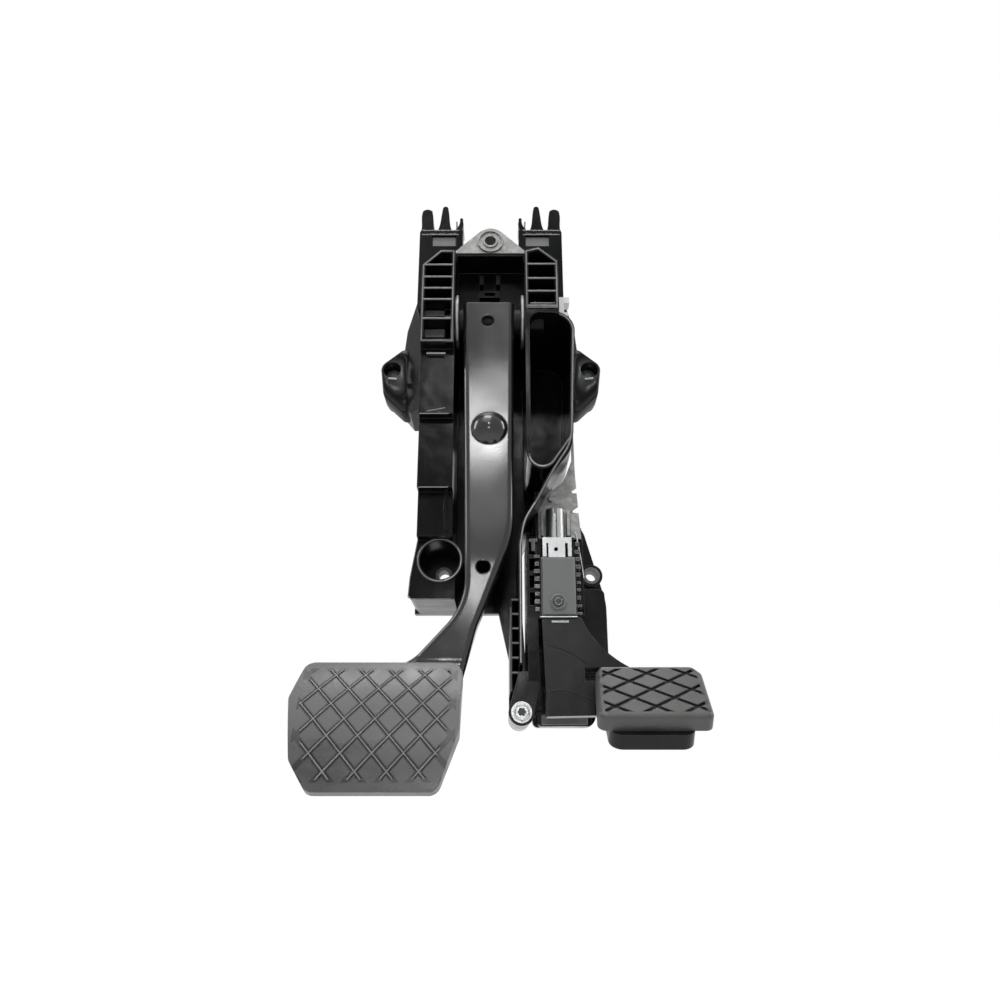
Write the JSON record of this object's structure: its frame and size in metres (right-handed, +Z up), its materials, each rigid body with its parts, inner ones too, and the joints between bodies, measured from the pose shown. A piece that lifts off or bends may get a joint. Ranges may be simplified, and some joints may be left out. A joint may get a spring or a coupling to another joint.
{
  "type": "car pedal assembly",
  "caption": "Brake pedal and electronic accelerator module hung on a moulded bulkhead bracket, each with its own cross hinge.",
  "frame": {"origin": "on the bulkhead face, midway between the two upper bulkhead bolts", "axes": "+X to the driver's right, +Y forward through the bulkhead, +Z up"},
  "size_m": [0.2523, 0.1367, 0.455],
  "materials": {
    "bracket_plastic": "satin",
    "zinc_plate": "zinc coated",
    "bright_steel": "bright",
    "bolt_steel": "zinc coated",
    "insert_brass": "turned",
    "arm_paint": "gloss",
    "pad_rubber": "satin",
    "buffer_rubber": "matt",
    "bush_plastic": "satin",
    "white_plastic": "satin",
    "module_plastic": "satin",
    "grey_plastic": "satin",
    "spring_steel": "drawn wire",
    "board_green": "lacquered",
    "pin_metal": "bright",
    "rotor_metal": "bright"
  },
  "bodies": {
    "bracket_assembly": {"bearing_bracket": "bracket_plastic", "crossmember_lug": "zinc_plate", "adapter_plate": "zinc_plate", "plate_pin": "zinc_plate", "bulkhead_sleeves": "bright_steel", "guide_sleeve": "bright_steel", "retaining_clip": "bright_steel", "pivot_sleeve": "bright_steel", "lug_screws": "bright_steel", "pivot_bolt": "bolt_steel", "module_screw": "bolt_steel", "accelerator_pin": "bolt_steel", "pivot_insert": "insert_brass", "module_insert": "insert_brass", "arm_stop_buffer": "buffer_rubber", "rest_buffer": "buffer_rubber", "end_buffer": "buffer_rubber", "edge_clip": "white_plastic", "accelerator_housing": "module_plastic", "electronics_cover": "module_plastic", "front_cover": "grey_plastic", "return_spring_outer": "spring_steel", "return_spring_inner": "spring_steel", "sensor_board": "board_green", "connector_pins": "pin_metal"},
    "brake_pedal": {"brake_arm": "arm_paint", "pivot_tube": "arm_paint", "bearing_bushes": "bush_plastic", "ball_socket_clip": "bush_plastic", "pad_plate": "arm_paint", "brake_pad": "pad_rubber"},
    "accelerator_pedal": {"accelerator_lever": "grey_plastic", "accelerator_pad": "grey_plastic", "sensor_rotor": "rotor_metal", "friction_shoe": "bush_plastic"}
  },
  "joints": [
    {"name": "brake_pivot", "type": "hinge", "parent": "bracket_assembly", "child": "brake_pedal", "pos_m": [0, -0.078, 0.013], "axis": [1, 0, 0], "range_deg": [0, 18], "stiffness_Nm_per_rad": 6, "springref_deg": -14.32},
    {"name": "accelerator_pivot", "type": "hinge", "parent": "bracket_assembly", "child": "accelerator_pedal", "pos_m": [0.046, -0.04, -0.162], "axis": [1, 0, 0], "range_deg": [0, 18], "stiffness_Nm_per_rad": 3, "springref_deg": -22.92, "deforming": ["return_spring_outer", "return_spring_inner"]}
  ]
}
